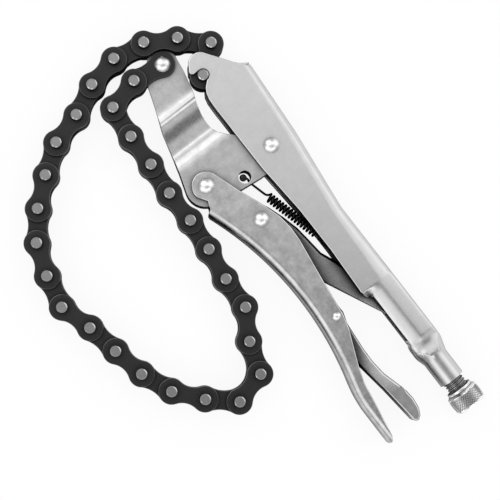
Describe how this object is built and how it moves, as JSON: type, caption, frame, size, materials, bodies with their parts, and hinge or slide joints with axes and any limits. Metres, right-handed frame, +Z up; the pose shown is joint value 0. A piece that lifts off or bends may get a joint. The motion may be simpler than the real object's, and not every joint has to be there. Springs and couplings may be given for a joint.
{
  "type": "locking chain clamp",
  "caption": "Locking plier lying on its side, with a toggle lever, adjusting screw and release lever, whose jaw carries a plate chain hooked in a notch of the frame.",
  "frame": {"origin": "on the main pivot's axis, at the plane the tool lies on", "axes": "+Z up along the pivot pins, +X along the adjusting screw toward the knob, +Y toward the frame's spine"},
  "size_m": [0.2367, 0.145, 0.0167],
  "materials": {
    "frame_steel": "satin plated",
    "plated_steel": "bright plated",
    "lever_steel": "satin plated",
    "rivet_steel": "bright",
    "dark_steel": "dull",
    "chain_steel": "blackened",
    "spring_steel": "black",
    "knob_steel": "knurled"
  },
  "bodies": {
    "frame": {"frame_channel": "frame_steel", "main_pivot_rivet": "rivet_steel", "spring_anchor": "dark_steel", "spring": "spring_steel"},
    "jaw": {"jaw_near_plate": "plated_steel", "jaw_far_plate": "plated_steel", "chain_anchor_rivet": "rivet_steel"},
    "lever": {"lever_channel": "lever_steel", "lever_pivot_rivet": "rivet_steel", "toggle_rivet": "rivet_steel", "release_rivet": "rivet_steel"},
    "toggle": {"toggle_link": "dark_steel"},
    "release": {"release_lever": "lever_steel"},
    "collar": {"screw_collar": "rivet_steel"},
    "screw": {"adjusting_screw": "dark_steel", "knurled_knob": "knob_steel"},
    "chain_link_00": {"chain_link_00": "chain_steel"},
    "chain_link_01": {"chain_link_01": "chain_steel"},
    "chain_link_02": {"chain_link_02": "chain_steel"},
    "chain_link_03": {"chain_link_03": "chain_steel"},
    "chain_link_04": {"chain_link_04": "chain_steel"},
    "chain_link_05": {"chain_link_05": "chain_steel"},
    "chain_link_06": {"chain_link_06": "chain_steel"},
    "chain_link_07": {"chain_link_07": "chain_steel"},
    "chain_link_08": {"chain_link_08": "chain_steel"},
    "chain_link_09": {"chain_link_09": "chain_steel"},
    "chain_link_10": {"chain_link_10": "chain_steel"},
    "chain_link_11": {"chain_link_11": "chain_steel"},
    "chain_link_12": {"chain_link_12": "chain_steel"},
    "chain_link_13": {"chain_link_13": "chain_steel"},
    "chain_link_14": {"chain_link_14": "chain_steel"},
    "chain_link_15": {"chain_link_15": "chain_steel"},
    "chain_link_16": {"chain_link_16": "chain_steel"},
    "chain_link_17": {"chain_link_17": "chain_steel"},
    "chain_link_18": {"chain_link_18": "chain_steel"},
    "chain_link_19": {"chain_link_19": "chain_steel"},
    "chain_link_20": {"chain_link_20": "chain_steel"},
    "chain_link_21": {"chain_link_21": "chain_steel"},
    "chain_link_22": {"chain_link_22": "chain_steel"},
    "chain_link_23": {"chain_link_23": "chain_steel"},
    "chain_link_24": {"chain_link_24": "chain_steel"},
    "chain_link_25": {"chain_link_25": "chain_steel"},
    "chain_link_26": {"chain_link_26": "chain_steel"},
    "chain_link_27": {"chain_link_27": "chain_steel"},
    "chain_link_28": {"chain_link_28": "chain_steel"},
    "chain_link_29": {"chain_link_29": "chain_steel"}
  },
  "joints": [
    {"name": "jaw_pivot", "type": "hinge", "parent": "frame", "child": "jaw", "pos_m": [0, 0, 0.008], "axis": [0, 0, 1], "range_deg": [0, 1.72], "deforming": ["spring"]},
    {"name": "lever_pivot", "type": "hinge", "parent": "jaw", "child": "lever", "pos_m": [-0.0032, -0.0359, 0.008], "axis": [0, 0, -1], "range_deg": [0, 12]},
    {"name": "toggle_pivot", "type": "hinge", "parent": "lever", "child": "toggle", "pos_m": [0.0246, -0.0251, 0.008], "axis": [0, 0, 1], "range_deg": [0, 14.73]},
    {"name": "release_pivot", "type": "hinge", "parent": "lever", "child": "release", "pos_m": [0.0816, -0.025, 0.008], "axis": [0, 0, -1], "range_deg": [0, 6]},
    {"name": "screw_advance", "type": "slide", "parent": "frame", "child": "collar", "axis": [1, 0, 0], "range_m": [0, 0.006]},
    {"name": "knob_turn", "type": "hinge", "parent": "collar", "child": "screw", "pos_m": [0.146, 0.0009, 0.008], "axis": [1, 0, 0], "range_deg": [0, 1440]},
    {"name": "chain_pin_00", "type": "hinge", "parent": "jaw", "child": "chain_link_00", "pos_m": [-0.0614, -0.0167, 0.008], "axis": [0, 0, -1], "range_deg": [0, 3]},
    {"name": "chain_pin_01", "type": "hinge", "parent": "chain_link_00", "child": "chain_link_01", "pos_m": [-0.06251, -0.03254, 0.008], "axis": [0, 0, -1], "range_deg": [0, 3]},
    {"name": "chain_pin_02", "type": "hinge", "parent": "chain_link_01", "child": "chain_link_02", "pos_m": [-0.0584, -0.04787, 0.008], "axis": [0, 0, -1], "range_deg": [0, 3]},
    {"name": "chain_pin_03", "type": "hinge", "parent": "chain_link_02", "child": "chain_link_03", "pos_m": [-0.04261, -0.04953, 0.008], "axis": [0, 0, -1], "range_deg": [0, 3]},
    {"name": "chain_pin_04", "type": "hinge", "parent": "chain_link_03", "child": "chain_link_04", "pos_m": [-0.02675, -0.05008, 0.008], "axis": [0, 0, -1], "range_deg": [0, 3]},
    {"name": "chain_pin_05", "type": "hinge", "parent": "chain_link_04", "child": "chain_link_05", "pos_m": [-0.01093, -0.05147, 0.008], "axis": [0, 0, -1], "range_deg": [0, 3]},
    {"name": "chain_pin_06", "type": "hinge", "parent": "chain_link_05", "child": "chain_link_06", "pos_m": [0.00494, -0.05147, 0.008], "axis": [0, 0, -1], "range_deg": [0, 3]},
    {"name": "chain_pin_07", "type": "hinge", "parent": "chain_link_06", "child": "chain_link_07", "pos_m": [0.02076, -0.05285, 0.008], "axis": [0, 0, -1], "range_deg": [0, 3]},
    {"name": "chain_pin_08", "type": "hinge", "parent": "chain_link_07", "child": "chain_link_08", "pos_m": [0.03648, -0.05506, 0.008], "axis": [0, 0, -1], "range_deg": [0, 2.5]},
    {"name": "chain_pin_09", "type": "hinge", "parent": "chain_link_08", "child": "chain_link_09", "pos_m": [0.05233, -0.05589, 0.008], "axis": [0, 0, -1], "range_deg": [0, 0.61]},
    {"name": "chain_pin_10", "type": "hinge", "parent": "chain_link_09", "child": "chain_link_10", "pos_m": [0.06594, -0.06407, 0.008], "axis": [0, 0, -1], "range_deg": [0, 0.61]},
    {"name": "chain_pin_11", "type": "hinge", "parent": "chain_link_10", "child": "chain_link_11", "pos_m": [0.08095, -0.06924, 0.008], "axis": [0, 0, -1], "range_deg": [0, 0.36]},
    {"name": "chain_pin_12", "type": "hinge", "parent": "chain_link_11", "child": "chain_link_12", "pos_m": [0.08506, -0.08457, 0.008], "axis": [0, 0, -1], "range_deg": [-0.16, 0]},
    {"name": "chain_pin_13", "type": "hinge", "parent": "chain_link_12", "child": "chain_link_13", "pos_m": [0.07444, -0.09637, 0.008], "axis": [0, 0, -1], "range_deg": [-0.66, 0]},
    {"name": "chain_pin_14", "type": "hinge", "parent": "chain_link_13", "child": "chain_link_14", "pos_m": [0.0621, -0.10636, 0.008], "axis": [0, 0, -1], "range_deg": [-1.16, 0]},
    {"name": "chain_pin_15", "type": "hinge", "parent": "chain_link_14", "child": "chain_link_15", "pos_m": [0.04738, -0.1123, 0.008], "axis": [0, 0, -1], "range_deg": [-1.65, 0]},
    {"name": "chain_pin_16", "type": "hinge", "parent": "chain_link_15", "child": "chain_link_16", "pos_m": [0.0318, -0.11533, 0.008], "axis": [0, 0, -1], "range_deg": [-2.07, 0]},
    {"name": "chain_pin_17", "type": "hinge", "parent": "chain_link_16", "child": "chain_link_17", "pos_m": [0.01616, -0.11809, 0.008], "axis": [0, 0, -1], "range_deg": [-1.91, 0]},
    {"name": "chain_pin_18", "type": "hinge", "parent": "chain_link_17", "child": "chain_link_18", "pos_m": [0.0009, -0.12247, 0.008], "axis": [0, 0, -1], "range_deg": [-0.58, 0]},
    {"name": "chain_pin_19", "type": "hinge", "parent": "chain_link_18", "child": "chain_link_19", "pos_m": [-0.01462, -0.11917, 0.008], "axis": [0, 0, -1], "range_deg": [-1.05, 0]},
    {"name": "chain_pin_20", "type": "hinge", "parent": "chain_link_19", "child": "chain_link_20", "pos_m": [-0.02954, -0.11374, 0.008], "axis": [0, 0, -1], "range_deg": [-1.41, 0]},
    {"name": "chain_pin_21", "type": "hinge", "parent": "chain_link_20", "child": "chain_link_21", "pos_m": [-0.04188, -0.10375, 0.008], "axis": [0, 0, -1], "range_deg": [-1.23, 0]},
    {"name": "chain_pin_22", "type": "hinge", "parent": "chain_link_21", "child": "chain_link_22", "pos_m": [-0.05208, -0.09158, 0.008], "axis": [0, 0, -1], "range_deg": [-0.87, 0]},
    {"name": "chain_pin_23", "type": "hinge", "parent": "chain_link_22", "child": "chain_link_23", "pos_m": [-0.06119, -0.07858, 0.008], "axis": [0, 0, -1], "range_deg": [-0.29, 0]},
    {"name": "chain_pin_24", "type": "hinge", "parent": "chain_link_23", "child": "chain_link_24", "pos_m": [-0.06583, -0.0634, 0.008], "axis": [0, 0, -1], "range_deg": [0, 0.67]},
    {"name": "chain_pin_25", "type": "hinge", "parent": "chain_link_24", "child": "chain_link_25", "pos_m": [-0.07279, -0.04913, 0.008], "axis": [0, 0, -1], "range_deg": [0, 1.95]},
    {"name": "chain_pin_26", "type": "hinge", "parent": "chain_link_25", "child": "chain_link_26", "pos_m": [-0.07636, -0.03366, 0.008], "axis": [0, 0, -1], "range_deg": [0, 3.22]},
    {"name": "chain_pin_27", "type": "hinge", "parent": "chain_link_26", "child": "chain_link_27", "pos_m": [-0.07415, -0.01794, 0.008], "axis": [0, 0, 1], "range_deg": [0, 3]},
    {"name": "chain_pin_28", "type": "hinge", "parent": "chain_link_27", "child": "chain_link_28", "pos_m": [-0.06646, -0.00406, 0.008], "axis": [0, 0, 1], "range_deg": [-6.42, 0]},
    {"name": "chain_pin_29", "type": "hinge", "parent": "chain_link_28", "child": "chain_link_29", "pos_m": [-0.05524, 0.00718, 0.008], "axis": [0, 0, 1], "range_deg": [0, 3.73]}
  ],
  "couplings": [
    {"joint": "jaw_pivot", "follows": "lever_pivot", "ratio": 0.14286},
    {"joint": "toggle_pivot", "follows": "lever_pivot", "ratio": 1.227},
    {"joint": "knob_turn", "follows": "screw_advance", "rad_per_m": 4188.8},
    {"joint": "chain_pin_09", "follows": "chain_pin_00", "ratio": 0.202},
    {"joint": "chain_pin_10", "follows": "chain_pin_01", "ratio": 0.201},
    {"joint": "chain_pin_11", "follows": "chain_pin_02", "ratio": 0.117},
    {"joint": "chain_pin_12", "follows": "chain_pin_03", "ratio": -0.053},
    {"joint": "chain_pin_13", "follows": "chain_pin_04", "ratio": -0.217},
    {"joint": "chain_pin_14", "follows": "chain_pin_05", "ratio": -0.384},
    {"joint": "chain_pin_15", "follows": "chain_pin_06", "ratio": -0.55},
    {"joint": "chain_pin_16", "follows": "chain_pin_07", "ratio": -0.689},
    {"joint": "chain_pin_17", "follows": "chain_pin_08", "ratio": -0.761},
    {"joint": "chain_pin_18", "follows": "chain_pin_00", "ratio": -0.19},
    {"joint": "chain_pin_19", "follows": "chain_pin_01", "ratio": -0.35},
    {"joint": "chain_pin_20", "follows": "chain_pin_02", "ratio": -0.467},
    {"joint": "chain_pin_21", "follows": "chain_pin_03", "ratio": -0.408},
    {"joint": "chain_pin_22", "follows": "chain_pin_04", "ratio": -0.288},
    {"joint": "chain_pin_23", "follows": "chain_pin_05", "ratio": -0.095},
    {"joint": "chain_pin_24", "follows": "chain_pin_06", "ratio": 0.223},
    {"joint": "chain_pin_25", "follows": "chain_pin_07", "ratio": 0.649},
    {"joint": "chain_pin_26", "follows": "chain_pin_08", "ratio": 1.288},
    {"joint": "chain_pin_28", "follows": "chain_pin_27", "ratio": -2.138},
    {"joint": "chain_pin_29", "follows": "chain_pin_27", "ratio": 1.243}
  ]
}
